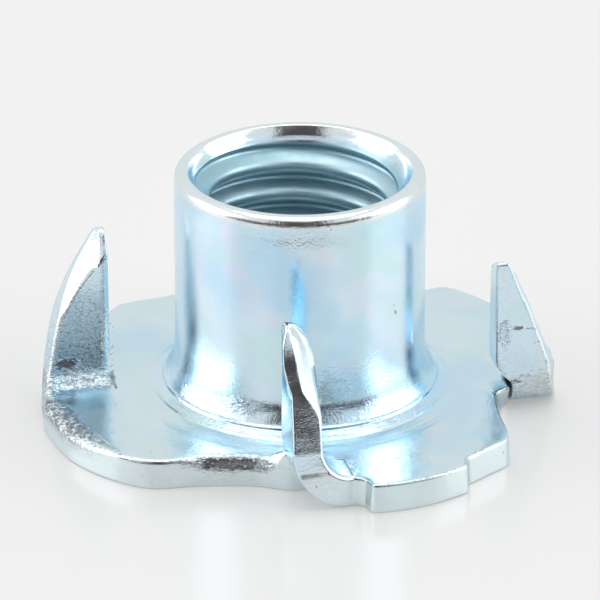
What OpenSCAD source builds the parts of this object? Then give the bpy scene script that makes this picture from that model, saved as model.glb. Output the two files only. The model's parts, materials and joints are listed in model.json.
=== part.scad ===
// Four-prong tee nut, pressed from one piece of zinc-plated sheet steel.
// Origin on the bore's axis, in the plane of the flange's underside. Millimetres, +Z towards the barrel's rim.

/* [Barrel] */
// Outer diameter of the barrel
barrel_d = 12; // [11:0.1:15]
// Overall height, from the flange's underside to the barrel's rim
height = 12.4; // [10:0.1:18]
// Bore across the thread's crests
bore_d = 8.5; // [6.5:0.1:9]
// Diameter of the mouth where it meets the flat rim
mouth_d = 11.1; // [9.6:0.1:11.2]
// Steepness of the mouth's cone, up from level
mouth_angle = 58; // [40:1:65]
// Rounding between the flat rim and the mouth's cone
mouth_round = 0.95; // [0.05:0.05:1.1]
// Rounding of the rim's outer edge
rim_round = 0.4; // [0.1:0.05:0.5]
// Rounding of the bore's entry in the underside
entry_round = 1.2; // [0.4:0.1:1.4]
// How much wider the barrel's radius is at its foot
foot_flare = 0.15; // [0.05:0.05:0.4]
// Height at which the barrel starts to widen
flare_height = 6; // [4.5:0.1:7]
// Fillet between the barrel and the flange
foot_fillet = 0.75; // [0.3:0.05:1.2]

/* [Flange] */
// Diameter of the disc that the flange is cut from
flange_d = 25; // [24:0.1:31]
// Thickness of the sheet
sheet = 1.45; // [1:0.05:1.8]
// Rolled upper edge of the disc, left by the blanking punch
edge_roll = 0.3; // [0.1:0.05:0.5]
// Distance of each notch's sheared edge from the axis
notch_dist = 9.4; // [8.6:0.1:10]
// Setback of the rim beside the notches at 0, 90, 180 and 270 degrees
ear_setback = [0.8, 0, 0, 0]; // [0:0.1:1]
// Corner radius of the ears beside those notches
ear_round = [1.3, 3, 0.9, 3]; // [0.5:0.1:3.5]
// Where a setback starts, in degrees before its notch's prong
setback_from = 48.5; // [40:0.5:60]
// Distance from the axis of the flat that trims one side
flat_dist = 11.3; // [10.8:0.1:13]
// Direction in which the flat faces, in degrees
flat_az = 111; // [108:1:116]

/* [Prongs] */
// Height of the prongs' tips above the underside
prong_height = 8.5; // [6:0.1:11]
// Width of a prong where it leaves its bend
prong_w = 3.2; // [2:0.1:3.6]
// Width of the blunt tip
tip_w = 0.6; // [0.3:0.1:1]
// Radius inside the bend
bend_round = 0.9; // [0.4:0.1:1.4]
// Angle between each fold line and the radius
fold_twist = 15; // [0:1:22]
// How far a prong's outer face stands clockwise of the radius, at the inner edge
face_offset = 1.2; // [0.6:0.1:2]
// Straight strip of rim between the bend and the disc's arc
root_strip = 0.9; // [0.4:0.1:1.5]

/* [Hidden] */
$fn = 96;
zinc = [0.76, 0.83, 0.88];
cut = 1;            // how far a cutting shape runs past the surface that it cuts

barrel_r = barrel_d / 2;
bore_r = bore_d / 2;
mouth_r = mouth_d / 2;
rim_r = flange_d / 2;
foot_r = barrel_r + foot_flare;
fillet_end = foot_r + foot_fillet;
outer_bend = bend_round + sheet;
prong_turns = [0, 90, 180, 270];

// Where the mouth's rounding runs into its cone, and the depth at which the cone meets the bore
cone_r = mouth_r - mouth_round * sin(mouth_angle);
cone_z = height - mouth_round * (1 - cos(mouth_angle));
mouth_z = cone_z - (cone_r - bore_r) * tan(mouth_angle);

// Arc of the flare, tangent to the barrel's wall at flare_height
flare_drop = flare_height - sheet - foot_fillet;
flare_arc = (flare_drop * flare_drop + foot_flare * foot_flare) / (2 * foot_flare);

// Arc of a prong's outer edge, tangent to its upright bend, through the outer corner of the tip
tip_rise = prong_height - outer_bend;
tip_run = prong_w - tip_w;
prong_arc = (tip_rise * tip_rise + tip_run * tip_run) / (2 * tip_run);

function polar(r, az) = [r * cos(az), r * sin(az)];
function ear_rim(k) = rim_r - ear_setback[k];

// Centre of the arc that rounds an ear, tangent to the notch's edge and to the rim
function ear_centre(k) =
    let (x = notch_dist - ear_round[k], r = ear_rim(k) - ear_round[k])
    [x, -sqrt(r * r - x * x)];

// The sheet seen on end: w wide, with its upper outer corner rolled over
module rolled_edge(w) {
    difference() {
        square([w, sheet]);
        difference() {
            translate([w - edge_roll, sheet - edge_roll]) square(edge_roll + cut);
            translate([w - edge_roll, sheet - edge_roll]) circle(edge_roll);
        }
    }
}

// What lies outside a fillet of radius r, whose two walls are at x = 0 and y = 0
module fillet_web(r) {
    difference() {
        square(r);
        translate([r, r]) circle(r);
    }
}

module barrel_section() {
    difference() {
        union() {
            square([barrel_r, height - rim_round]);
            square([barrel_r - rim_round, height]);
            translate([barrel_r - rim_round, height - rim_round]) circle(rim_round);
            difference() {
                square([foot_r, flare_height]);
                translate([barrel_r + flare_arc, flare_height]) circle(flare_arc, $fn = 1440);
            }
            square([fillet_end, sheet]);
            translate([foot_r, sheet]) fillet_web(foot_fillet);
        }
        // bore
        translate([0, -cut]) square([bore_r, height + 2 * cut]);
        // mouth, a cone rounded into the flat rim
        difference() {
            polygon([[0, mouth_z], [bore_r, mouth_z], [cone_r, cone_z], [mouth_r, height - mouth_round],
                     [mouth_r, height + cut], [0, height + cut]]);
            translate([mouth_r, height - mouth_round]) circle(mouth_round);
        }
        // entry, drawn smoothly out of the underside
        translate([bore_r, 0]) fillet_web(entry_round);
    }
}

// What a rolled edge at radius r, or at distance r, takes off the upper corner
module roll_waste(r) {
    translate([r - edge_roll, sheet - edge_roll])
        difference() {
            square(edge_roll + cut);
            circle(edge_roll);
        }
}

// The fold's frame: X runs out along the fold line, Y across it towards the flange
module at_fold() {
    translate([notch_dist, -face_offset]) rotate(fold_twist) children();
}

// Turns a shape drawn in X and Z, and raised along Y
module stand_up() {
    mirror([0, 1, 0]) rotate([90, 0, 0]) children();
}

// Outline cut away by notch k, from its ear to the root of its prong
module notch_outline(k) {
    ear = ear_centre(k);
    // the sheared edge, back to the prong's strip of rim
    difference() {
        translate([notch_dist, -rim_r]) square([rim_r, 2 * rim_r]);
        at_fold() translate([-rim_r, outer_bend + root_strip]) square(2 * rim_r);
    }
    // the ear's corner, outside its arc
    difference() {
        polygon([ear, [notch_dist + cut, ear.y], [rim_r + cut, -rim_r], ear + (rim_r + cut) * ear / norm(ear)]);
        translate(ear) circle(ear_round[k]);
    }
    // the setback beside the ear
    if (ear_setback[k] > 0)
        difference() {
            polygon([[0, 0], polar(2 * rim_r, -setback_from), [2 * rim_r, 0]]);
            circle(ear_rim(k));
        }
}

// Rolled upper edge of notch k, which runs out where the ear's corner turns away
module notch_roll(k) {
    run = ear_round[k] - ear_centre(k).y;
    translate([0, -run, 0]) stand_up() linear_extrude(run) roll_waste(notch_dist);
}

module flange_outline() {
    difference() {
        circle(rim_r);
        circle(foot_r);
        for (k = [0:3]) rotate(prong_turns[k]) notch_outline(k);
        rotate(flat_az) translate([flat_dist, -rim_r / 2]) square(rim_r);
    }
}

module flange() {
    difference() {
        intersection() {
            linear_extrude(sheet + cut) flange_outline();
            rotate_extrude() rolled_edge(rim_r);
        }
        for (k = [0:3]) rotate(prong_turns[k]) notch_roll(k);
    }
}

// A prong, its quarter bend and its strip of rim, in the fold's frame
module prong() {
    translate([0, outer_bend, 0])
        stand_up() linear_extrude(root_strip) rolled_edge(prong_w);
    translate([0, outer_bend, outer_bend])
        rotate([0, 90, 0])
            rotate_extrude(start = -90, angle = 90)
                translate([outer_bend, 0]) rotate(90) rolled_edge(prong_w);
    stand_up()
        intersection() {
            linear_extrude(sheet)
                difference() {
                    translate([0, outer_bend]) square([prong_w, tip_rise]);
                    translate([0, prong_height]) mirror([0, 1]) fillet_web(tip_w / 2);
                }
            translate([prong_w - prong_arc, outer_bend]) rotate_extrude($fn = 240) rolled_edge(prong_arc);
        }
}

module tee_nut() {
    color(zinc) {
        rotate_extrude() barrel_section();
        flange();
        for (turn = prong_turns) rotate(turn) at_fold() prong();
    }
}

tee_nut();
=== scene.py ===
import bmesh
import bpy
import json
import math
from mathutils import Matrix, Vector
from mathutils.geometry import delaunay_2d_cdt


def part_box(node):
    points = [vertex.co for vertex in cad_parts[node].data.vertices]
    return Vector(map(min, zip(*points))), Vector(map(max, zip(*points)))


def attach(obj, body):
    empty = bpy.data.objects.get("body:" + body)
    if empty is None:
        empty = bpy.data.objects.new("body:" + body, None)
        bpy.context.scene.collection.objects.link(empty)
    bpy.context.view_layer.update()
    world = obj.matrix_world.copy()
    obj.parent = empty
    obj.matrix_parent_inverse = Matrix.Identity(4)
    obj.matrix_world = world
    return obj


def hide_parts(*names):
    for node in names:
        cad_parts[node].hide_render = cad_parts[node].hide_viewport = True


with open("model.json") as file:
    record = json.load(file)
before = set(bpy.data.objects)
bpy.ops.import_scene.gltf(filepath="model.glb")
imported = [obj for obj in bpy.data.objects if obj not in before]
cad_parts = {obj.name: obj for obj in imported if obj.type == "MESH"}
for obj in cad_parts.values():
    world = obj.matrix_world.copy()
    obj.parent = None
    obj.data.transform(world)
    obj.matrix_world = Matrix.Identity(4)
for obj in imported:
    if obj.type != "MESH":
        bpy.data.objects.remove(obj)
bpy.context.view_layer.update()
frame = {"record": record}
mounts = {m["name"]: m for m in frame["record"]["mounts"]}
mm = 0.001

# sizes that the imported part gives, in millimetres
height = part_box("tee_nut")[1].z / mm
sheet = mounts["bearing_face"]["pos_m"][2] / mm
barrelR = mounts["barrel"]["dims"]["r_mm"]
boreR = mounts["thread"]["dims"]["r_mm"]
mouthZ = mounts["thread"]["pos_m"][2] / mm + mounts["thread"]["dims"]["length_mm"] / 2


def blendStep(a, b, x):
    # smooth step from 0 at a to 1 at b; a may be the larger
    t = min(max((x - a) / (b - a), 0), 1)
    return t * t * (3 - 2 * t)


def mix(a, b, t):
    return a + (b - a) * t


def softMax(a, b, k):
    # the larger of two, rounded where they are within k of each other
    h = max(k - abs(a - b), 0) / k
    return max(a, b) + h * h * k / 4


def polar(az, r):
    a = math.radians(az)
    return Vector((r * math.cos(a), r * math.sin(a)))


def curveThrough(points, x, column=1):
    # smooth value at x through rows of (x, value, ...) in rising order
    last = len(points) - 1
    if x <= points[0][0]:
        return points[0][column]
    if x >= points[last][0]:
        return points[last][column]
    k = next(i for i in range(last) if x <= points[i + 1][0])
    span = points[k + 1][0] - points[k][0]
    rises = [(b[column] - a[column]) / (b[0] - a[0]) for a, b in zip(points, points[1:])]

    def slopeAt(i):
        if i in (0, last):
            return rises[0 if i == 0 else -1]
        if rises[i - 1] * rises[i] <= 0:
            return 0.0
        return 2 * rises[i - 1] * rises[i] / (rises[i - 1] + rises[i])

    t = (x - points[k][0]) / span
    bendLow = slopeAt(k) * span * t * (1 - t) ** 2
    bendHigh = slopeAt(k + 1) * span * t * t * (t - 1)
    return mix(points[k][column], points[k + 1][column], blendStep(0, 1, t)) + bendLow + bendHigh


thread = {
    "pitch": 1.5,
    "majorR": 5.0,
    "rootHalf": 0.095,      # half of the flat at the root
    "flank": 30,            # degrees between a flank and the level plane
    "phase": 0.82,          # height of a crest's middle above the underside at azimuth 0, in pitches
    "rootSoft": 0.08,       # how far the root and the worn crest are rounded
    "crestSoft": 0.3,
    # places of the rows up one pitch, closer together where a flank ends
    "steps": (0, 0.1, 0.15, 0.2, 0.29, 0.39, 0.44, 0.5, 0.56, 0.61, 0.71, 0.8, 0.85, 0.9),
}

barrel = {
    # (depth, radius) down the mouth: a steep wall, then a cone that cuts the first thread
    "mouth": ((0, 5.42), (0.02, 5.37), (0.06, 5.335), (0.2, 5.26), (0.38, 5.175), (0.5, 5.09), (0.68, 4.93),
              (1.35, 4.27), (1.6, 4.0)),
    # depths of the level rows in the mouth; below them the rows climb with the thread
    "mouthRows": (0.02, 0.04, 0.07, 0.13, 0.2, 0.28, 0.36, 0.42, 0.47, 0.52, 0.58, 0.62),
    "rimR": 0.4,            # rounding of the rim's outer edge
    # (height, radius) down the foot's flare and over its coined step into the flange
    "foot": ((6.0, 6.0), (4.2, 6.01), (3.3, 6.04), (2.85, 6.09), (2.45, 6.2), (2.12, 6.37), (1.93, 6.52),
             (1.86, 6.62), (1.77, 6.65), (1.73, 6.74), (1.65, 6.9), (1.55, 7.12), (1.5, 7.2), (1.47, 7.45),
             (1.42, 7.8)),
    "coinR": 8.35,          # edge of the coined ring round the foot
    "coinSlope": 0.3,
    "collar": 0.02,         # the drawing die leaves the top a little slimmer
    "collarZ": 11.2,
    "collarSoft": 0.2,
    "entryR": 5.45,         # where the bore's rounded entry meets the underside
    "firstAz": 10,          # azimuth of the first column of points
    # rows of points across the rim, round its edge, down the wall, down the foot and over the ring
    "rows": (5, 8, 24, 44, 8),
    "entryRows": 10,
}

# how the flange's edge was cut, in mm
cut = {
    "burr": 0.07,
    "wallLean": 0.08,       # the wall leans in by up to this much for each mm of height
    "innerDown": 0.85,      # depth of a slit's or a prong's inner roll for its width
    "foldStrain": 0.3,
    "slitR": 0.05,          # half the width of the slit at a prong's foot
    "slitRoll": 0.05,
    "tightest": 0.55,       # widest roll, as a share of the radius that the edge turns round
    "slope": 0.7,           # fastest change of the roll's width along the edge
    "steepest": 2.6,        # deepest roll, as a share of its width
    "downPerIn": (0.75, 0.42),              # depth of the roll for its width, plain and stretched
    "stretchedIn": 0.95,    # width of the roll where the rim is stretched
    "bevel": (0.27, 0.66),  # width and depth of the flat bevel in the front notch
    "bevelReach": (8, 9.6),                 # distances from the axis that it lies between
}

none = ((0, 0), (1, 0))     # a list over the climb that stays at nothing

# One entry for each prong, at its azimuth az. The origin of its frame is c from the axis and f along the
# turn, at the foot of its outer face. u runs out along the fold, which yaw turns from the radius, and v runs
# round the nut. A list over the climb runs 0 to 1 round the bend, then 1 more for each mm up.
# outer, neck    climb and u of the prong's outer and inner edge
# skew           how much further out the edge lies on the inner face
# roll           width and depth of the rolled outer edge; innerRoll is the inner one's width
# facet          0 where the outer edge is rolled round, 1 where it is flat
# square, torn   how far the bend's outside and a torn burr stand out
# thin           how much of the sheet is lost
# twist, lean    turn of the tip in degrees, and how far it leans along the turn
# tipFall        how much lower the tip is on its inner face
# strain         how stretched the steel is, which sets its crackle and the painted shade in it; rimStrain is that of the rim after the prong
# notch          the sheared edge that the prong came from: along, distance from the axis, rounding
# slitU, corner  u of the slit at its foot, and the flange's corner beside it: u, v, rounding
# cornerRoll     width of the rolled edge at that corner; rimRoll is the rim's
# undercut       how far the corner's underside is dragged in under the prong, along u and v
# lift           the corner's rise, v where it starts and is full as shares of the fold's, u where it starts
#                and is full, and how much of it is lost towards the slit
# rim            the rim after the prong: azimuth from it, radius, rounding
prongs = [
    {
        "name": "right", "az": 0, "c": 9.37, "f": -1.2, "yaw": 13.4, "twist": 0, "lean": -0.1,
        "bend": 1.0, "tipZ": 8.05, "tipFall": 0.6, "square": 0.3, "innerRoll": 0.18,
        "outer": ((0, 3.5), (0.25, 3.42), (0.55, 3.03), (0.8, 2.82), (1.0, 2.72), (1.45, 2.56), (1.9, 2.41),
                  (2.9, 2.04), (4.0, 1.66), (4.8, 1.3), (6.6, 0.6)),
        "neck": ((0, 1.05), (0.6, 0.97), (0.75, 0.88), (0.88, 0.4), (1.0, 0.1), (1.5, 0)),
        "skew": ((0, 0), (0.2, 0), (0.45, 0.35), (0.63, 0.6), (1.0, 0.6), (1.5, 0.45), (2.6, 0.4),
                 (6.45, 0.33)),
        "roll": ((0, 0.22, 0.19), (7, 0.2, 0.2)),
        "facet": none,
        "torn": none,
        "thin": ((5.8, 0), (6.6, 0.15)),
        "strain": ((0, 0.15), (0.5, 0.3), (1, 0.25), (3, 0.1), (6, 0.25)),
        "notch": ((-5.9, 9.95, 0.5), (-3.8, 9.55, 0.8), (-1.8, 9.42, 0.6)),
        "slitU": 1.05, "corner": ((-0.05, -0.35, 0.3), (0.95, 0.02, 0.3)), "cornerRoll": 0.42,
        "undercut": (0.5, 0.9), "lift": (-0.14, 0.5, 0.0, -0.55, 0.0, 0.0),
        "rim": ((14, 12.3, 0.8), (30, 12.55, 1), (43, 12.9, 1), (56, 12.95, 0.9), (59, 11.8, 1)),
        "rimRoll": 0.2, "rimStrain": 0,
    },
    {
        "name": "back", "az": 90, "c": 9.4, "f": -1.2, "yaw": 15, "twist": 0, "lean": 0,
        "bend": 0.9, "tipZ": 8.4, "tipFall": 0.2, "square": 0.2, "innerRoll": 0.3,
        "outer": ((0, 3.0), (1, 3.08), (2, 3.0), (3.2, 2.7), (4.5, 2.1), (5.7, 1.4), (7.05, 0.6)),
        "neck": ((0, 0.6), (0.7, 0.55), (0.85, 0.35), (1.0, 0.1), (1.5, 0)),
        "skew": ((0, 0), (0.6, 0.3), (1.3, 0.15)),
        "roll": ((0, 0.3, 0.25), (3, 0.3, 0.25), (6, 0.7, 0.8)),
        "facet": ((2, 0), (4, 1)),
        "torn": none,
        "thin": ((6.2, 0), (7.05, 0.3)),
        "strain": ((0, 0.2), (0.5, 0.8), (1.5, 1), (3, 0.6), (6, 0.2)),
        "notch": ((-5.2, 9.4, 0.8), (-2, 9.4, 0.6)),
        "slitU": 0.6, "corner": ((-0.05, -0.3, 0.3), (0.42, 0.1, 0.15)), "cornerRoll": 0.4,
        "undercut": (0.2, 0.5), "lift": (0.5, 0.9, 0.25, -0.9, 0.15, 0.9),
        "rim": ((12, 12.0, 0.6), (20, 11.6, 1), (34.3, 11.54, 1.5), (48.4, 12.57, 0.5), (52.5, 12.45, 1.2)),
        "rimRoll": 0.3, "rimStrain": 0,
    },
    {
        "name": "left", "az": 180, "c": 9.4, "f": -1.2, "yaw": 15, "twist": 0, "lean": 0,
        "bend": 1.1, "tipZ": 8.95, "tipFall": 0.15, "square": 0.25, "innerRoll": 0.42,
        "outer": ((0, 3.65), (0.25, 3.56), (0.6, 3.28), (1, 3.06), (2, 2.9), (3.2, 2.64), (4.5, 2.18),
                  (5.6, 1.64), (6.6, 1.03), (7.4, 0.5)),
        "neck": ((0, 0.16), (0.7, 0.14), (0.9, 0.08), (1.1, 0.02), (1.5, 0)),
        "skew": ((0, 0), (0.6, 0.12), (2, 0.1)),
        "roll": ((0, 0.22, 0.16), (3, 0.22, 0.2), (4.2, 0.4, 0.5), (6.0, 0.85, 0.95), (7.4, 1.2, 1.15)),
        "facet": ((2, 0), (4.5, 1)),
        "torn": none,
        "thin": ((6.6, 0), (7.4, 0.15)),
        "strain": ((0, 0.4), (0.5, 0.8), (1.6, 1), (2.6, 0.6), (4.2, 0.32), (5.4, 0.12), (7, 0.12)),
        "notch": ((-5.6, 9.4, 0.8), (-2, 9.4, 0.6)),
        "slitU": 0.16, "corner": ((-0.25, -0.3, 0.3), (0.04, 0.05, 0.15)), "cornerRoll": 0.35,
        "undercut": (0.1, 0.4), "lift": (0.06, 0.9, 0.25, -0.9, 0.15, 0.9),
        "rim": ((12, 12.64, 0.5), (20, 12.6, 1), (41, 12.5, 2.4), (51, 11.75, 0.4)),
        "rimRoll": 0.3, "rimStrain": 0.9,
    },
    {
        "name": "front", "az": 270, "c": 9.244, "f": -0.885, "yaw": 14.5, "twist": 8.5, "lean": 0,
        "bend": 1.5, "tipZ": 8.75, "tipFall": 0.1, "square": 0.0, "innerRoll": 0.2,
        "outer": ((0, 2.42), (0.3, 2.58), (0.6, 2.56), (1, 2.42), (2, 2.18), (4, 1.6), (5.2, 1.34),
                  (5.9, 1.11), (6.4, 0.9), (6.8, 0.7)),
        "neck": ((0, 0.42), (0.7, 0.38), (0.85, 0.25), (1.0, 0.08), (1.5, 0)),
        "skew": none,
        "roll": ((0, 0.2, 0.19), (1.6, 0.22, 0.25), (2.4, 0.25, 0.3), (3.2, 0.45, 0.6), (4.0, 0.7, 0.98),
                 (5.0, 0.85, 1.1), (6.8, 0.75, 1.12)),
        "facet": ((2.6, 0), (3.7, 1)),
        "torn": ((3.6, 0), (4.3, 0.22), (5.1, 0.34), (5.9, 0.3), (6.6, 0.05)),
        "thin": ((5.0, 0), (5.9, 0.2), (6.4, 0.5), (6.8, 0.85)),
        "strain": ((0, 0.03), (0.7, 0.1), (1.5, 0.16), (2.6, 0.08), (3.6, 0.02), (6.8, 0.02)),
        "notch": ((-6.9, 9.3, 0.9), (-5, 8.9, 0.8), (-2.2, 8.86, 0.5), (-1.55, 9.05, 0.3)),
        "bevel": (-5.7, -4.2, -1.35, -0.7),     # along the notch, where its bevel starts, is full and ends
        "slitU": 0.42, "corner": ((-0.05, -0.25, 0.3), (0.28, 0.15, 0.15)), "cornerRoll": 0.35,
        "undercut": (0.2, 0.4), "lift": (0.7, 0.9, 0.25, -0.9, 0.15, 0.9),
        "rim": ((15.4, 11.42, 0.1), (16.0, 12.15, 0.3), (26, 12.42, 1), (39.8, 12.4, 0.3), (41.8, 11.8, 0.35),
                (49, 11.8, 1), (56, 12.0, 0.45)),
        "rimRoll": 0.2, "rimStrain": 0,
    },
]

# points across a fold, along the edge from prong to prong, and round the end of a slit
foldSteps, runSteps, slitSteps = 14, 66, 8
columns = len(prongs) * (foldSteps + runSteps + slitSteps)
rollSteps = 5                                   # rows of points over a rolled edge
wallRows = rollSteps + 7                        # rows from the top face down to the underside
bendRows, uprightRows, tipRows = 24, 44, 6      # rows of points up a prong
tipRound, tipInset = 0.22, 0.24                 # how far the tip is rounded, up and in
fine = 0.02                                     # length of a piece of edge before it is resampled


class Shell:
    # vertices in millimetres, with two painted values for the finish: sheared steel and bent steel, which
    # also place its painted light and shade
    def __init__(self):
        self.points, self.faces, self.shear, self.bend = [], [], [], []

    def put(self, x, y, z, shear=0.0, bend=0.0):
        self.points.append([x, y, z])
        self.shear.append(shear)
        self.bend.append(bend)
        return len(self.points) - 1

    def strip(self, a, b):
        # quads between two rows of the same length, leaving out what has no area
        for i in range(len(a) - 1):
            corners = []
            for v in (a[i], a[i + 1], b[i + 1], b[i]):
                if v not in corners:
                    corners.append(v)
            if len(corners) > 2:
                self.faces.append(tuple(corners))

    def ring(self, a, b):
        self.strip(a + a[:1], b + b[:1])


def turned(prong, ahead, along):
    # a point that far out at the prong's azimuth and that far along the turn
    a = math.radians(prong["az"])
    return Vector((ahead * math.cos(a) - along * math.sin(a), ahead * math.sin(a) + along * math.cos(a)))


def toWorld(prong, u, v, twist=0.0):
    a = math.radians(prong["yaw"] + twist)
    ahead = prong["c"] + u * math.cos(a) - v * math.sin(a)
    along = prong["f"] + u * math.sin(a) + v * math.cos(a)
    return turned(prong, ahead, along)


def toProng(prong, x, y):
    # the other way: u and v of a point
    az, yaw = math.radians(prong["az"]), math.radians(prong["yaw"])
    ahead = x * math.cos(az) + y * math.sin(az) - prong["c"]
    along = -x * math.sin(az) + y * math.cos(az) - prong["f"]
    return ahead * math.cos(yaw) + along * math.sin(yaw), -ahead * math.sin(yaw) + along * math.cos(yaw)


def foldAxes(prong):
    # unit vectors along the fold and across it
    origin = toWorld(prong, 0, 0)
    return toWorld(prong, 1, 0) - origin, toWorld(prong, 0, 1) - origin


def foldV(prong):
    # v of the line where the flat sheet ends and the bend starts
    return prong["bend"] + sheet


def outlineRun(prong, following):
    # the sheet's edge from this prong's fold, round the rim, to the slit at the foot of the next prong
    start = toWorld(prong, prong["outer"][0][1], foldV(prong))
    end = toWorld(following, following["slitU"] - 2 * cut["slitR"], foldV(following))
    rim = [(polar(prong["az"] + az, r), rounding) for az, r, rounding in prong["rim"]]
    notch = [(turned(following, ahead, along), rounding) for along, ahead, rounding in following["notch"]]
    corner = [(toWorld(following, u, v), rounding) for u, v, rounding in following["corner"]]
    knots = [(start, 0)] + rim + notch + corner + [(end, 0)]
    dense, starts = [], []
    for k in range(len(knots) - 1):
        a, b = knots[k][0], knots[k + 1][0]
        n = max(int((b - a).length / fine), 2)
        azA, azB = math.atan2(a.y, a.x), math.atan2(b.y, b.x)
        if azB < azA:
            azB += 2 * math.pi
        starts.append(len(dense))
        for i in range(n):
            t = i / n
            if 0 < k < len(rim):                # between two points of the rim the edge is an arc
                r, az = mix(a.length, b.length, t), mix(azA, azB, t)
                dense.append(Vector((r * math.cos(az), r * math.sin(az))))
            else:
                dense.append(a.lerp(b, t))
    dense.append(knots[-1][0].copy())
    # each corner becomes a quadratic curve between the two points that are its rounding away
    for (a, rounding), at in zip(knots[1:-1], starts[1:]):
        n = int(rounding / fine)
        low, high = max(at - n, 0), min(at + n, len(dense) - 1)
        p, q = dense[low].copy(), dense[high].copy()
        for i in range(low, high + 1):
            t = (i - low) / (high - low)
            dense[i] = p * (1 - t) ** 2 + a * (2 * t * (1 - t)) + q * t * t
    return dense


def resample(dense, count):
    # count points, closer together where the edge turns
    reach, weight, most = 8, 2.2, 3
    n = len(dense)
    turn = [0.0] * n
    for i in range(n):
        a, b, c = dense[max(i - reach, 0)], dense[i], dense[min(i + reach, n - 1)]
        if (b - a).length > 1e-6 and (c - b).length > 1e-6:
            turn[i] = abs((b - a).angle_signed(c - b, 0)) / max((c - a).length, 1e-6)
    total = [0.0]
    for i in range(1, n):
        total.append(total[-1] + (dense[i] - dense[i - 1]).length * (1 + weight * min(turn[i], most)))
    made, k = [], 0
    for j in range(count):
        want = total[-1] * j / (count - 1)
        while k < n - 2 and total[k + 1] < want:
            k += 1
        t = (want - total[k]) / max(total[k + 1] - total[k], 1e-9)
        made.append(dense[k].lerp(dense[k + 1], min(max(t, 0), 1)))
    return made


def outwards(points):
    # unit vectors out of the sheet, for a row of points that runs anticlockwise
    made = []
    for i in range(len(points)):
        a, b = points[max(i - 1, 0)], points[min(i + 1, len(points) - 1)]
        t = (b - a).normalized()
        made.append(Vector((t.y, -t.x)))
    return made


def edgeDrop(x, rollIn, rollDown, facet=0.0):
    # how far the rolled-over top lies below the sheet's face, x in from the edge; facet 1 makes it flat
    if x >= rollIn:
        return 0.0
    return rollDown * mix(1 - math.sqrt(max(1 - (1 - x / rollIn) ** 2, 0)), 1 - x / rollIn, facet)


def edgeColumn(rollIn, rollDown, burr, room=9.0, facet=0.0):
    # (inset, height) down a sheared edge: die roll, wall and small burr round; room is the widest roll
    reach = min(rollIn, room)
    made = []
    for j in range(rollSteps + 1):
        inset = reach * (1 - math.sin(math.radians(90 * j / rollSteps)))
        made.append((inset, sheet - edgeDrop(inset, rollIn, rollDown, facet)))
    low = sheet - rollDown
    guard = min(0.06, (low - burr) * 0.2)       # keeps the wall flat between its two rounds
    made += [(0.0, z) for z in (low - guard, mix(burr, low, 0.5), burr + guard, burr)]
    made += [(burr * 0.3, burr * 0.3), (burr, 0.0)]
    lean = min(cut["wallLean"], max(reach - 0.06, 0) * 0.4)
    return [(inset + lean * max(min(z, low) - burr, 0), z) for inset, z in made]


def threadR(z, turn):
    q = (z / thread["pitch"] - thread["phase"] - turn) % 1
    fromRoot = abs(q - 0.5) * thread["pitch"]
    flank = thread["majorR"] - (fromRoot - thread["rootHalf"]) / math.tan(math.radians(thread["flank"]))
    cutR = -softMax(-flank, -thread["majorR"], thread["rootSoft"])
    return softMax(cutR, boreR, thread["crestSoft"])


def mouthR(z):
    return curveThrough(barrel["mouth"], height - z)


entryArc = barrel["entryR"] - boreR


def entryR(z):
    up = min(z, entryArc)
    return boreR + entryArc - math.sqrt(entryArc ** 2 - (entryArc - up) ** 2)


def barrelProfile():
    # (radius, height) rows from the mouth's edge down the outside to the edge of the coined ring
    flatRows, roundRows, wallSteps, footRows, ringRows = barrel["rows"]
    rimR, foot, soft = barrel["rimR"], barrel["foot"], barrel["collarSoft"]
    flatR = barrelR - rimR - barrel["collar"]
    rows = [(mix(barrel["mouth"][0][1], flatR, i / flatRows), height) for i in range(flatRows)]
    for i in range(roundRows + 1):
        a = math.radians(90 * i / roundRows)
        rows.append((flatR + rimR * math.sin(a), height - rimR * (1 - math.cos(a))))
    for i in range(1, wallSteps):
        z = mix(height - rimR, foot[0][0], i / wallSteps)
        slimmer = barrel["collar"] * blendStep(barrel["collarZ"] - soft, barrel["collarZ"] + soft, z)
        rows.append((barrelR - slimmer, z))
    numbered = [(k, z, r) for k, (z, r) in enumerate(foot)]
    for i in range(footRows):
        t = i * (len(foot) - 1) / (footRows - 1)
        rows.append((curveThrough(numbered, t, 2), curveThrough(numbered, t, 1)))
    ringR = barrel["coinR"]
    for i in range(1, ringRows + 1):
        r = mix(foot[-1][1], ringR, i / ringRows)
        rows.append((r, mix(foot[-1][0], sheet, blendStep(ringR - barrel["coinSlope"], ringR, r))))
    return rows


def buildBarrel(shell, angles):
    # the barrel's outside, as a row of points for each row of its profile
    rows = []
    for r, z in barrelProfile():
        rows.append([shell.put(r * math.cos(a), r * math.sin(a), z) for a in angles])
    for a, b in zip(rows, rows[1:]):
        shell.ring(a, b)
    return rows[0], rows[-1]


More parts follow.
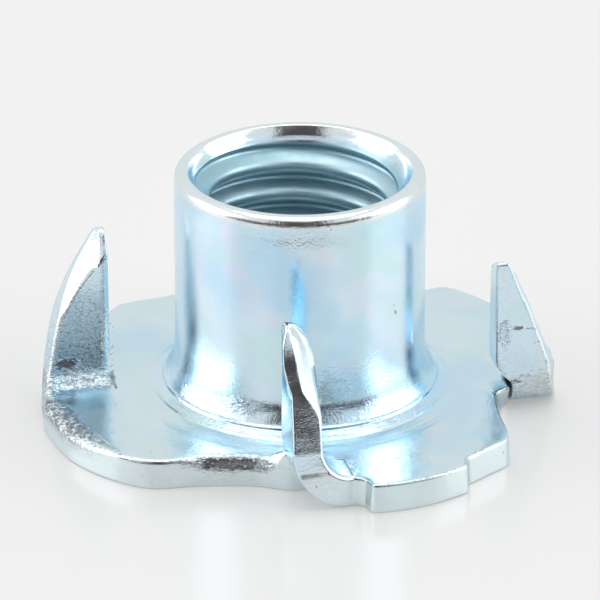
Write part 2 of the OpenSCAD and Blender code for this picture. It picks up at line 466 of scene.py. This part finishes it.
def buildBore(shell, angles, rimRow):
    # level rows in the mouth, rows that climb with the thread, and level rows in the entry
    mouthSoft, entrySoft = 0.05, 0.12           # how far the thread is rounded into them
    topZ, lowZ = height - barrel["mouthRows"][-1], entryArc + 0.05
    snap = 0.02                                 # a climbing row this near a level one joins it
    mouthBelow, entryAbove = mouthZ - 0.2, lowZ + 0.6

    def boreRing(z):
        made = []
        for a in angles:
            r = softMax(threadR(z, a / (2 * math.pi)), max(mouthR(z), entryR(z)), mouthSoft)
            made.append(shell.put(r * math.cos(a), r * math.sin(a), z))
        return made

    last = rimRow
    for depth in barrel["mouthRows"]:
        now = boreRing(height - depth)
        shell.ring(last, now)
        last = now
    topRing, lowRing = last, boreRing(lowZ)
    n = len(thread["steps"])
    made = {}

    def helixVertex(i, j):
        # column i and row j of the thread, where n rows make a pitch and one turn climbs n rows
        if i == columns:
            i, j = 0, j + n
        turn = angles[i] / (2 * math.pi)
        z = thread["pitch"] * (thread["phase"] + turn + j // n + thread["steps"][j % n])
        if z >= topZ - snap:
            return topRing[i]
        if z <= lowZ + snap:
            return lowRing[i]
        if (i, j) not in made:
            r = threadR(z, turn)
            if z > mouthBelow:
                r = softMax(r, mouthR(z), mouthSoft)
            if z < entryAbove:
                r = softMax(r, entryR(z), entrySoft)
            made[i, j] = shell.put(r * math.cos(angles[i]), r * math.sin(angles[i]), z)
        return made[i, j]

    for j in range(-2 * n, (int(height / thread["pitch"]) + 2) * n):
        lower, upper = ([helixVertex(i, row) for i in range(columns + 1)] for row in (j, j + 1))
        shell.strip(lower, upper)
    last = lowRing
    for k in range(1, barrel["entryRows"] + 1):
        a = math.radians(90 * k / barrel["entryRows"])
        now = boreRing(entryArc * (1 - math.sin(a)) if k < barrel["entryRows"] else 0.0)
        shell.ring(last, now)
        last = now
    return last


def bevelAt(prong, p):
    # how much of the flat bevel there is at this point of the prong's notch
    if "bevel" not in prong:
        return 0
    a = math.radians(prong["az"])
    ahead, along = p.x * math.cos(a) + p.y * math.sin(a), -p.x * math.sin(a) + p.y * math.cos(a)
    nearest, furthest = cut["bevelReach"]
    starts, full, fades, ends = prong["bevel"]
    if not nearest < ahead < furthest:
        return 0
    return blendStep(starts, full, along) * (1 - blendStep(fades, ends, along))


def edgeRoll(prong, following, p, t, fromSlit):
    # width, depth, flatness and strain of the rolled edge at a point that is a share t of the way along
    bevel = bevelAt(following, p)
    atRim = blendStep(0.05, 0.2, t)
    atCorner = blendStep(3.6, 2.4, fromSlit) * blendStep(0.3, 1.2, fromSlit)
    beforeSlit = blendStep(0.3, 1.7, fromSlit) if t > 0.8 else 1
    strain = prong["rimStrain"] * blendStep(0.0, 0.04, t) * blendStep(0.42, 0.2, t)
    width = mix(prong["roll"][0][1], prong["rimRoll"], atRim)
    width = mix(width, following["cornerRoll"], atCorner)
    width = mix(cut["slitRoll"], width, beforeSlit)
    width = mix(width, cut["stretchedIn"], strain)
    depth = width * mix(*cut["downPerIn"], strain)
    return mix(width, cut["bevel"][0], bevel), mix(depth, cut["bevel"][1], bevel), bevel, strain


def easeRoll(run, widths):
    # narrows the roll where the corner turns tightly, and keeps its width from changing too fast
    last = len(run) - 1
    for i in range(1, last):
        a, b, c = run[i - 1], run[i], run[i + 1]
        curve = -(b - a).angle_signed(c - b, 0) / max((c - a).length / 2, 1e-6)
        if curve > 0:
            widths[i] = min(widths[i], cut["tightest"] / curve)
    for order, near in ((range(1, last + 1), -1), (range(last - 1, -1, -1), 1)):
        for i in order:
            step = (run[i] - run[i + near]).length
            widths[i] = min(widths[i], widths[i + near] + cut["slope"] * step)


def buildEdge(shell, prong, following):
    # columns of points down the sheet's edge, from this prong's outer edge to the end of the next one's slit
    run = resample(outlineRun(prong, following), runSteps)
    normals = outwards(run)
    uDir, vDir = foldAxes(following)
    normals[0], normals[-1] = foldAxes(prong)[0], uDir
    slitEnd = toWorld(following, following["slitU"] - cut["slitR"], foldV(following))
    for s in range(1, slitSteps + 1):
        a = math.pi * s / slitSteps
        out = uDir * math.cos(a) - vDir * math.sin(a)
        run.append(slitEnd - out * cut["slitR"])
        normals.append(out)
    rolls = []
    for i, p in enumerate(run):
        rolls.append(edgeRoll(prong, following, p, i / (runSteps - 1), (p - slitEnd).length))
    widths, depths, facets, strains = (list(values) for values in zip(*rolls))
    easeRoll(run, widths)
    depths = [min(depth, max(width, 0.1) * cut["steepest"]) for width, depth in zip(widths, depths)]
    widths[-1], depths[-1] = cut["slitRoll"], cut["slitRoll"] * cut["innerDown"]
    edge = []
    for p, out, width, depth, facet, strain in zip(run, normals, widths, depths, facets, strains):
        column = []
        for j, (inset, z) in enumerate(edgeColumn(width, depth, cut["burr"], facet=facet)):
            q = p - out * inset
            shear = min(max((j - 1) / 3, 0), 1)             # grows from the second row of the roll
            bend = strain * blendStep(7, 5, j)              # over the roll only
            column.append(shell.put(q.x, q.y, z, shear=shear, bend=bend))
        edge.append(column)
    return edge


def buildFold(shell, inner, outer):
    # points across the fold, on the sheet's top and underside, between the columns at its two ends
    tops, lows = [], []
    for m in range(foldSteps):
        t = (m + 1) / (foldSteps + 1)
        for row, at, bend in ((tops, 0, cut["foldStrain"]), (lows, -1, 0.0)):
            p = Vector(shell.points[inner[at]]).lerp(Vector(shell.points[outer[at]]), t)
            row.append(shell.put(p.x, p.y, p.z, bend=bend))
    return tops, lows


def prongSection(prong, climb, shrink):
    # (u, d, shear) round the prong's section, where d is the way up from its outer face, and its two edges
    uIn = curveThrough(prong["neck"], climb) + shrink
    uOut = curveThrough(prong["outer"], climb) - shrink
    width = uOut - uIn
    burr = min(cut["burr"], width * 0.1)
    innerRoll = min(mix(cut["slitRoll"], prong["innerRoll"], blendStep(0.1, 1.5, climb)), width * 0.4)
    roll = [curveThrough(prong["roll"], climb), curveThrough(prong["roll"], climb, 2)]
    roll.append(curveThrough(prong["facet"], climb))
    innerColumn = edgeColumn(innerRoll, innerRoll * cut["innerDown"], burr)
    inner = [(uIn + inset, d, 1.0) for inset, d in innerColumn]
    outer = [(uOut - inset, d, 1.0) for inset, d in edgeColumn(*roll[:2], burr, width * 0.55, roll[2])]
    outer.reverse()

    def across(a, b, d):
        return [(mix(a[0], b[0], (m + 1) / (foldSteps + 1)), d, 0.0) for m in range(foldSteps)]

    section = []
    for u, d, shear in inner + across(inner[-1], outer[0], 0.0):
        section.append((u, d * (1 - edgeDrop(uOut - u, *roll) / sheet), shear))
    section += outer
    for u, d, shear in across(outer[-1], inner[0], sheet):
        section.append((u, d - edgeDrop(uOut - u, *roll), shear))
    return section, uIn, uOut


def prongRow(shell, prong, climb, shrink):
    # one row of points round the prong
    section, uIn, uOut = prongSection(prong, climb, shrink)
    fold = foldV(prong)
    tipStart = prong["tipZ"] - tipRound
    strain = curveThrough(prong["strain"], climb)
    skew = curveThrough(prong["skew"], climb)
    burr = curveThrough(prong["torn"], climb)
    thick = 1 - curveThrough(prong["thin"], climb) / sheet
    up = max(climb - 1, 0) / (prong["tipZ"] - fold)         # 0 at the bend, 1 at the tip
    leaning = turned(prong, 0, prong["lean"] * up * up)
    row = []
    for u, d, shear in section:
        d *= thick
        if shrink:
            d = sheet * thick / 2 + (d - sheet * thick / 2) * (1 - shrink / (sheet / 2))
        if climb <= 1:
            a = math.radians(90 * climb)
            r = fold - d + prong["square"] * max(1 - d / sheet, 0) * math.sin(2 * a) ** 2
            v, z = fold - r * math.sin(a), fold - r * math.cos(a)
        else:
            v, z = d, fold + climb - 1
            z -= prong["tipFall"] * d / sheet * blendStep(tipStart - 1.2, tipStart + tipRound, z)
        v -= burr * blendStep(0.75, 0.05, uOut - u) * blendStep(0.5, 0.0, d)
        outward = skew * d / sheet * max(u - uIn, 0) / (uOut - uIn)
        p = toWorld(prong, u + outward, v, prong["twist"] * up) + leaning
        row.append(shell.put(p.x, p.y, z, shear=shear, bend=strain))
    return row


def buildProng(shell, prong, inner, outer, tops, lows):
    # lofts the loop round the prong's section from the fold, through the bend, up to the tip
    upright = prong["tipZ"] - tipRound - foldV(prong)
    climbs = [(s / bendRows, 0.0) for s in range(1, bendRows + 1)]
    climbs += [(1 + upright * s / uprightRows, 0.0) for s in range(1, uprightRows + 1)]
    for s in range(1, tipRows + 1):
        a = math.radians(90 * s / tipRows)
        climbs.append((1 + upright + tipRound * math.sin(a), tipInset * (1 - math.cos(a))))
    last = inner + lows + outer[::-1] + tops[::-1]
    for climb, shrink in climbs:
        now = prongRow(shell, prong, climb, shrink)
        shell.ring(last, now)
        last = now
    # close the tip: quads across it, and a fan at each end
    n, k = foldSteps, wallRows
    innerEnd, lowRow = last[:k], last[k:k + n]
    outerEnd, topRow = last[k + n:2 * k + n][::-1], last[2 * k + n:][::-1]
    shell.strip([innerEnd[0]] + topRow + [outerEnd[0]], [innerEnd[-1]] + lowRow + [outerEnd[-1]])
    for column in (innerEnd, outerEnd):
        for j in range(1, len(column) - 1):
            shell.faces.append((column[0], column[j], column[j + 1]))


def fillSheet(shell, outer, inner, z, spacing):
    # triangles between two closed rows of vertices, over a grid of new points
    rowRise, rowShift = 0.866, 0.0137           # rows of even triangles, kept off the outline's own points
    ring = outer + inner
    flat = [Vector(shell.points[v][:2]) for v in ring]
    n = len(outer)
    rims = [(i, (i + 1) % n) for i in range(n)]
    rims += [(n + i, n + (i + 1) % len(inner)) for i in range(len(inner))]
    innerR = flat[n].length
    # buckets that find how near a grid point is to an edge
    near = {}
    for p in flat:
        near.setdefault((int(p.x // spacing), int(p.y // spacing)), []).append(p)
    points = list(flat)
    made = list(ring)
    reach = int(max(p.length for p in flat) / spacing) + 1
    for row in range(-reach, reach + 1):
        y = row * spacing * rowRise + rowShift
        crossings = []
        for i in range(n):
            a, b = flat[i], flat[(i + 1) % n]
            if (a.y > y) != (b.y > y):
                crossings.append(a.x + (b.x - a.x) * (y - a.y) / (b.y - a.y))
        crossings.sort()
        for x0, x1 in zip(crossings[::2], crossings[1::2]):
            for col in range(math.ceil(x0 / spacing), math.floor(x1 / spacing) + 1):
                p = Vector(((col + (row % 2) * 0.5) * spacing, y))
                if not x0 < p.x < x1 or p.length < innerR + spacing * 0.5:
                    continue
                cx, cy = int(p.x // spacing), int(p.y // spacing)
                cells = [(cx + dx, cy + dy) for dx in (-1, 0, 1) for dy in (-1, 0, 1)]
                if any((q - p).length < spacing * 0.55 for cell in cells for q in near.get(cell, ())):
                    continue
                points.append(p)
                made.append(shell.put(p.x, p.y, z))
    _, _, faces, origin, _, _ = delaunay_2d_cdt(points, rims, [], 0, 1e-7)

    def inside(p):
        odd = False
        for i in range(n):
            a, b = flat[i], flat[(i + 1) % n]
            if (a.y > p.y) != (b.y > p.y) and p.x < a.x + (b.x - a.x) * (p.y - a.y) / (b.y - a.y):
                odd = not odd
        return odd

    for face in faces:
        corners = [origin[v][0] for v in face]
        if all(c < len(ring) for c in corners):
            middle = sum((points[c] for c in corners), Vector((0, 0))) / 3
            if all(c >= n for c in corners) or not inside(middle):
                continue
        shell.faces.append(tuple(made[c] for c in corners))


def liftCorners(points):
    # the flange's corner at each prong's foot is dragged up by the bend, and its underside in under the prong
    for prong in prongs:
        fold = foldV(prong)
        endU = prong["slitU"] - 2 * cut["slitR"]
        underU, underV = prong["undercut"]
        amount, farV, nearV, startU, fullU, fade = prong["lift"]
        for point in points:
            u, v = toProng(prong, point[0], point[1])
            if not (-1.6 < u < endU + 0.03 and -2 < v < fold):
                continue                                    # not on this corner
            up = min(point[2] / sheet, 1)                   # 0 on the underside, 1 on top
            rise = amount * blendStep(farV * fold, nearV * fold, v) * blendStep(-1.1, -0.2, v)
            rise *= blendStep(startU, fullU, u) * (1 - fade * blendStep(0.15, endU + 0.1, u))
            pull = (1 - up) * blendStep(-1.2, -0.2, v) * blendStep(1.6, 0.2, v) * blendStep(-1.5, 0.0, u)
            fromEnd = max(1 - max(u, 0) / endU, 0)
            point[0], point[1] = toWorld(prong, u + underU * pull * fromEnd, v + underV * pull)
            point[2] += rise * up


def buildNut():
    shell = Shell()
    angles = [math.radians(barrel["firstAz"]) + 2 * math.pi * i / columns for i in range(columns)]
    rimRow, coinRow = buildBarrel(shell, angles)
    entryRow = buildBore(shell, angles, rimRow)
    print("barrel and bore:", len(shell.points), "points")

    edges = [buildEdge(shell, prong, prongs[(k + 1) % len(prongs)]) for k, prong in enumerate(prongs)]
    topLoop, lowLoop, standing = [], [], set()
    for k, prong in enumerate(prongs):
        inner, outer = edges[k - 1][-1], edges[k][0]
        tops, lows = buildFold(shell, inner, outer)
        topLoop += tops + [column[0] for column in edges[k]]
        lowLoop += lows + [column[-1] for column in edges[k]]
        before = len(shell.points)
        buildProng(shell, prong, inner, outer, tops, lows)
        standing.update(range(before, len(shell.points)))
        print(prong["name"], "prong:", len(shell.points) - before, "points")

    # upper and lower faces of the sheet, and its edge
    topSpacing, lowSpacing = 0.28, 0.4
    fillSheet(shell, topLoop, coinRow, sheet, topSpacing)
    fillSheet(shell, lowLoop, entryRow, 0.0, lowSpacing)
    for edge in edges:
        for a, b in zip(edge, edge[1:]):
            shell.strip(a, b)
    liftCorners([p for i, p in enumerate(shell.points) if i not in standing])
    print("flange filled:", len(shell.faces), "faces in all")
    return shell


class Wire:
    # one shader value; plain maths on it adds Math nodes, and make() adds any other node
    def __init__(self, tree, socket=None):
        self.tree, self.socket = tree, socket

    def make(self, kind, settings, sockets, out=0):
        made = self.tree.nodes.new(kind)
        for name, value in settings.items():
            setattr(made, name, value)
        for name, value in sockets.items():
            target = made.inputs[name]
            if isinstance(value, Wire):
                self.tree.links.new(value.socket, target)
            else:
                target.default_value = value
        return Wire(self.tree, made.outputs[out])

    def math(self, operation, a, b=0.0):
        return self.make("ShaderNodeMath", {"operation": operation}, {0: a, 1: b})

    def __add__(self, other):
        return self.math("ADD", self, other)

    def __sub__(self, other):
        return self.math("SUBTRACT", self, other)

    def __rsub__(self, other):
        return self.math("SUBTRACT", other, self)

    def __mul__(self, other):
        return self.math("MULTIPLY", self, other)

    def __truediv__(self, other):
        return self.math("DIVIDE", self, other)

    def __rtruediv__(self, other):
        return self.math("DIVIDE", other, self)

    def __pow__(self, other):
        return self.math("POWER", self, other)

    def __rpow__(self, other):
        return self.math("POWER", other, self)

    __radd__, __rmul__ = __add__, __mul__

    def most(self, other):
        return self.math("MAXIMUM", self, other)

    def step(self, low, high, to=(0.0, 1.0)):
        # smooth step from low to high; low may be the larger
        return self.make("ShaderNodeMapRange", {"interpolation_type": "SMOOTHSTEP"},
                         {"Value": self, "From Min": low, "From Max": high, "To Min": to[0], "To Max": to[1]})

    def vector(self, operation, other):
        return self.make("ShaderNodeVectorMath", {"operation": operation}, {0: self, 1: other})

    def length(self):
        return self.make("ShaderNodeVectorMath", {"operation": "LENGTH"}, {0: self}, "Value")

    def noise(self, scale, detail=2.0, roughness=0.5, distortion=0.0):
        return self.make("ShaderNodeTexNoise", {}, {"Vector": self, "Scale": scale, "Detail": detail,
                                                    "Roughness": roughness, "Distortion": distortion})


def tint(base, colour, amount):
    # base, plain or linked, turned towards a colour by a linked amount
    return amount.make("ShaderNodeMix", {"data_type": "RGBA"}, {0: amount, 6: base, 7: colour}, 2)


zinc = {
    "plate": (0.685, 0.84, 0.935, 1),       # the even blue-white of the plating
    "worn": (0.82, 0.86, 0.86, 1),          # the rubbed top ring
    "deep": (0.44, 0.62, 0.69, 1),          # painted shade inside the bore, darker and greener than the plating
    "entry": (0.24, 0.42, 0.50, 1),         # painted shade at the thread's first turn, under the mouth's overhanging cone
    "sheared": (0.82, 0.89, 0.915, 1),      # paler where the punch tore the steel, and lighter still as painted light for the floor that the walls mirror
    "straw": (0.76, 0.81, 0.76, 1),
    "dark": (0.20, 0.20, 0.22, 1),          # painted shade in stretched crackle, tears and dents, and dark specks along rolled edges
    "speck": (0.36, 0.25, 0.17, 1),         # small brown specks
    "grazing": (0.9, 0.96, 1.0, 1),
    "roughness": 0.115,
    # clouds of the passivation's colours: colour, place of its noise, scale, distortion, range, amount
    "clouds": (
        ((0.50, 0.75, 0.93, 1), (0.0, 0.0, 0.0), 0.21, 0.4, (0.44, 0.68), 0.8),        # blue
        ((0.76, 0.76, 0.88, 1), (31.0, 7.0, 3.0), 0.24, 0.5, (0.50, 0.72), 0.55),      # lilac
        ((0.76, 0.81, 0.76, 1), (5.0, 43.0, 9.0), 0.27, 0.5, (0.50, 0.72), 0.5),       # straw
        ((0.58, 0.82, 0.84, 1), (17.0, 3.0, 51.0), 0.3, 0.5, (0.50, 0.72), 0.7),       # sea green
    ),
    # torn places and dents: place and reach in mm, and depth; they crackle and dent the relief, and are
    # darkened with painted shade
    "scars": (
        ((10.5, -1.0, 4.46), (0.34, 0.5, 0.13), 1.0),      # tear across the right prong
        ((11.1, -0.9, 4.40), (0.75, 0.5, 0.06), 0.8),
        ((9.85, -1.1, 4.2), (0.36, 0.6, 0.8), 0.72),
        ((12.42, -0.4, 2.2), (0.1, 0.5, 0.22), 1.0),       # bruise at its root
        ((10.42, -1.0, 1.62), (0.3, 0.5, 0.13), 0.9),      # creases above its bend
        ((10.85, -0.8, 1.9), (0.4, 0.5, 0.08), 0.7),
        ((11.4, -0.6, 2.1), (0.5, 0.5, 0.06), 0.5),
        ((-11.2, -0.9, 2.5), (0.85, 0.8, 0.42), 1.0),      # hollow at the left prong's bend, darkened with painted shade
        ((-9.55, 0.0, 8.75), (0.22, 0.9, 0.25), 0.85),     # nick at its tip
        ((1.75, -6.0, 3.5), (0.9, 0.8, 0.6), 0.3),         # crackled patches at the barrel's foot, darkened with painted shade
        ((-3.4, -6.0, 2.6), (1.6, 1.2, 0.5), 0.45),
        ((5.4, -2.6, 4.9), (0.12, 0.5, 0.5), 0.7),         # nick in the barrel's side
        ((-3.1, -8.9, 1.2), (2.4, 0.6, 0.5), 0.5),         # the front notch's rough bevel
    ),
}


def zincMaterial():
    material = bpy.data.materials.new("bluePassivatedZinc")
    material.use_nodes = True
    tree = material.node_tree
    shader = tree.nodes["Principled BSDF"]
    start = Wire(tree)
    metres = start.make("ShaderNodeTexCoord", {}, {}, "Object")
    place = start.make("ShaderNodeVectorMath", {"operation": "SCALE"}, {0: metres, "Scale": 1 / mm})
    x, y, z = (start.make("ShaderNodeSeparateXYZ", {}, {0: place}, axis) for axis in ("X", "Y", "Z"))
    r = (x * x + y * y) ** 0.5
    shear = start.make("ShaderNodeAttribute", {"attribute_name": "shear"}, {}, "Fac")
    strain = start.make("ShaderNodeAttribute", {"attribute_name": "bend"}, {}, "Fac")

    # where things are
    outside = r.step(5.7, 5.95)
    barrelWall = outside * r.step(7.2, 6.4) * z.step(1.9, 2.4)
    foot = outside * r.step(11.5, 7.0) * z.step(3.0, 2.3)
    rim = r.step(5.1, 5.3) * z.step(11.75, 12.0)
    flange = r.step(6.6, 7.6) * z.step(2.0, 1.7)
    standing = r.step(7.8, 8.4) * z.step(1.6, 2.4)          # the prongs, from their bends up
    inside = r.step(5.3, 4.95) * z.step(11.95, 11.55)
    firstTurn = inside * z.step(10.9, 11.1)
    rightNotch = x.step(6.0, 8.0) * r.step(10.6, 9.9) * z.step(1.7, 1.5)

    # grain of the plated steel, a coarse crackle where it was stretched, and marks that run one way
    grain = place.noise(7.0, 3.0, 0.65)
    coarse = place.vector("MULTIPLY", (4.0, 4.0, 7.5)).noise(1.0, 3.0, 0.65)
    waves = place.noise(0.55)
    patch = place.noise(0.9).step(0.35, 0.6)
    around = start.make("ShaderNodeCombineXYZ", {}, {0: (r + z) * 8.0, 1: x / r * 4.0, 2: y / r * 4.0})
    rings = around.noise(1.0, 4.0, 0.65)                    # round the barrel's foot
    upright = start.make("ShaderNodeCombineXYZ", {}, {0: x * 7.0, 1: y * 7.0, 2: z * 0.7})
    draws = upright.noise(1.0, 3.0, 0.65)                   # up the barrel and the prongs

    ragged = (coarse - 0.5) * 1.6                           # breaks up the outline of a scar
    marks = []
    for at, reach, depth in zinc["scars"]:
        far = place.vector("SUBTRACT", at).vector("DIVIDE", reach).length()
        marks.append((far + ragged).step(1.1, 0.5) * depth)
    scars = marks[0]
    for mark in marks[1:]:
        scars = scars.most(mark)
    stress = strain.most(scars)
    edge = shear * (1 - shear) * 4                          # along every rolled edge

    # colour
    colour = zinc["plate"]
    for cloud, shift, scale, distortion, (low, high), amount in zinc["clouds"]:
        share = place.vector("ADD", shift).noise(scale, 2.0, 0.5, distortion).step(low, high) * amount
        if cloud == zinc["straw"]:
            share = share * r.step(6.3, 7.5)                # none on the barrel
        colour = tint(colour, cloud, share)
    # sheared walls: their own paler steel, plus painted light
    colour = tint(colour, zinc["sheared"], shear * 0.5)
    colour = tint(colour, zinc["worn"], rim * 0.85)
    # painted shade down the bore
    colour = tint(colour, zinc["deep"], inside * 0.9)
    # painted shade at the thread's first turn
    colour = tint(colour, zinc["entry"], firstTurn * 0.5)
    colour = tint(colour, zinc["straw"], flange * 0.3)
    # painted shade: stretched steel and scars darkened through the crackle, dark specks along the rolled
    # edges, and the scars' deepest parts
    crackleShade = stress * 0.5 + edge * (0.6 - standing * 0.35)
    colour = tint(colour, zinc["dark"], coarse.step(0.46, 0.36) * crackleShade)
    colour = tint(colour, zinc["dark"], coarse.step(0.62, 0.5) * edge * rightNotch * 0.8)
    colour = tint(colour, zinc["dark"], coarse.step(0.62, 0.46) * stress * flange * 0.85)
    colour = tint(colour, zinc["dark"], scars.step(0.75, 1.0) * 0.85)
    colour = tint(colour, zinc["speck"], place.noise(1.9, 1.0, 0.4).step(0.79, 0.80) * outside * 0.6)

    # gloss
    shine = (zinc["roughness"] - 0.04, zinc["roughness"] + 0.09)
    roughness = place.noise(1.3, 3.0, 0.6).step(0.3, 0.75, shine)
    roughness = roughness + shear * 0.03 + stress * 0.02 + flange * 0.05 + inside * 0.3 + rim * 0.05
    roughness = roughness - standing * 0.05

    # relief, in mm: grain, waves in the flange, crackle and dents, then the marks of each region
    relief = grain * (0.006 - standing * 0.003 + barrelWall * 0.004) + waves * 0.05 * flange
    relief = relief + coarse * stress * 0.09 - scars.step(0.6, 1.0) * 0.06
    relief = relief + (rings * 0.02 + grain * patch * 0.018) * foot + coarse * edge * 0.02
    relief = relief + draws * (shear * 0.005 + barrelWall * 0.0025) + coarse * (rim * 0.012 + shear * 0.003)
    bump = start.make("ShaderNodeBump", {}, {"Strength": 1.0, "Distance": mm, "Height": relief})
    tree.links.new(colour.socket, shader.inputs["Base Color"])
    tree.links.new(roughness.socket, shader.inputs["Roughness"])
    tree.links.new(bump.socket, shader.inputs["Normal"])
    shader.inputs["Metallic"].default_value = 1.0
    shader.inputs["Specular Tint"].default_value = zinc["grazing"]
    print("zinc finish:", len(tree.nodes), "nodes")
    return material


def addObject(name, data):
    made = bpy.data.objects.new(name, data)
    bpy.context.scene.collection.objects.link(made)
    return made


def addNut():
    shell = buildNut()
    mesh = bpy.data.meshes.new("teeNut")
    mesh.from_pydata([tuple(c * mm for c in p) for p in shell.points], [], shell.faces)
    for name, values in (("shear", shell.shear), ("bend", shell.bend)):
        layer = mesh.attributes.new(name, "FLOAT", "POINT")
        layer.data.foreach_set("value", values)
    bm = bmesh.new()
    bm.from_mesh(mesh)
    bmesh.ops.recalc_face_normals(bm, faces=bm.faces)
    print("nut mesh: open edges", sum(len(e.link_faces) != 2 for e in bm.edges),
          "triangles", sum(len(f.verts) - 2 for f in bm.faces), "mm3", round(bm.calc_volume() / mm ** 3, 1))
    bm.to_mesh(mesh)
    bm.free()
    mesh.shade_smooth()
    nut = addObject("pressedTeeNut", mesh)
    mesh.materials.append(zincMaterial())
    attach(nut, "root")
    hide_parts("tee_nut")


studio = {
    "floorColour": (0.725, 0.723, 0.718, 1),
    "floorRoughness": 0.2,
    "floorReach": 1.5,
    "floorFront": -0.044,                   # the floor's near edge, in metres
    "pale": (0.853, 0.853, 0.853, 1),       # the level that the backdrop shows to the camera
    "paleShare": 0.33,                      # how much of the seen floor is that level
    "roomBack": (0.86, 0.87, 0.87, 1),      # the pale backdrop
    "roomTop": (0.9, 0.9, 0.9, 1),
    "roomFront": (0.085, 0.072, 0.072, 1),  # the dark side that the viewer stands on
    "darkHalf": 0.36,                       # its reach to each side, as a share of the direction
    "darkBelow": 0.2,                       # and the height, likewise, below which it goes further round
    # name, place in metres, size, power in watts; each one faces the nut
    "lamps": (
        ("leftSoftbox", (-0.55, -0.02, 0.235), (0.45, 0.45), 1.38),
        ("rightSoftbox", (0.55, -0.02, 0.235), (0.45, 0.45), 1.38),
        ("overheadSoftbox", (0, 0.06, 0.6), (0.5, 0.4), 0.86),
    ),
    # the camera looks down by its tilt, in degrees, at a point on the nut's axis
    "lens": 300, "sensor": 36, "tilt": 24.9, "away": 0.2401, "aimZ": 0.005518,
}


def addFloor():
    reach, front = studio["floorReach"], studio["floorFront"]
    corners = [(-reach, front, 0), (reach, front, 0), (reach, reach, 0), (-reach, reach, 0)]
    floorMesh = bpy.data.meshes.new("floor")
    floorMesh.from_pydata(corners, [], [(0, 1, 2, 3)])
    floor = addObject("floor", floorMesh)
    material = bpy.data.materials.new("paleFloor")
    material.use_nodes = True
    tree = material.node_tree
    shader = tree.nodes["Principled BSDF"]
    shader.inputs["Base Color"].default_value = studio["floorColour"]
    shader.inputs["Roughness"].default_value = studio["floorRoughness"]
    # part of what the camera and the metal see of the floor is the backdrop's pale level
    start = Wire(tree)
    seen = start.make("ShaderNodeLightPath", {}, {}, "Is Camera Ray")
    mirrored = start.make("ShaderNodeLightPath", {}, {}, "Is Glossy Ray")
    glow = start.make("ShaderNodeEmission", {}, {"Color": studio["pale"], "Strength": 1.0})
    share = seen.most(mirrored) * studio["paleShare"]
    both = start.make("ShaderNodeMixShader", {}, {0: share, 1: Wire(tree, shader.outputs[0]), 2: glow})
    tree.links.new(both.socket, tree.nodes["Material Output"].inputs["Surface"])
    floorMesh.materials.append(material)


def addWorld():
    # a pale room with a dark side towards the viewer, which the metal mirrors
    world = bpy.data.worlds.new("studioRoom")
    bpy.context.scene.world = world
    world.use_nodes = True
    tree = world.node_tree
    start = Wire(tree)
    way = start.make("ShaderNodeTexCoord", {}, {}, "Generated")
    x, y, up = (way.make("ShaderNodeSeparateXYZ", {}, {0: way}, axis) for axis in ("X", "Y", "Z"))
    facing = y / ((x * x + y * y) ** 0.5 + 0.001)           # -1 towards the viewer, 1 away from them
    half, low = studio["darkHalf"], studio["darkBelow"]
    between = start.math("ABSOLUTE", x).step(half + 0.07, half - 0.05)
    below = up.step(low + 0.1, low - 0.08) * facing.step(-0.1, -0.6)
    dark = between.most(below) * facing.step(0.1, -0.3) * up.step(0.88, 0.72)
    colour = tint(studio["roomBack"], studio["roomTop"], up.step(0.45, 0.7))
    colour = tint(colour, studio["roomFront"], dark)
    colour = tint(colour, studio["pale"], start.make("ShaderNodeLightPath", {}, {}, "Is Camera Ray"))
    tree.links.new(colour.socket, tree.nodes["Background"].inputs["Color"])


def addLamp(name, place, size, power):
    lamp = bpy.data.lights.new(name, "AREA")
    lamp.shape = "RECTANGLE"
    lamp.size, lamp.size_y = size
    lamp.energy = power
    made = addObject(name, lamp)
    made.location = place
    made.rotation_euler = Vector([-c for c in place]).to_track_quat("-Z", "Y").to_euler()


def addCamera():
    lens = bpy.data.cameras.new("camera")
    lens.lens, lens.sensor_width = studio["lens"], studio["sensor"]
    lens.clip_start = 0.01
    camera = addObject("camera", lens)
    tilt, away = math.radians(studio["tilt"]), studio["away"]
    camera.location = (0, -away * math.cos(tilt), studio["aimZ"] + away * math.sin(tilt))
    camera.rotation_euler = (math.pi / 2 - tilt, 0, 0)
    bpy.context.scene.camera = camera


addNut()
addFloor()
addWorld()
for row in studio["lamps"]:
    addLamp(*row)
addCamera()
bpy.context.scene.view_settings.view_transform = "Standard"
print("studio:", len(studio["lamps"]), "softboxes, a floor and a camera")
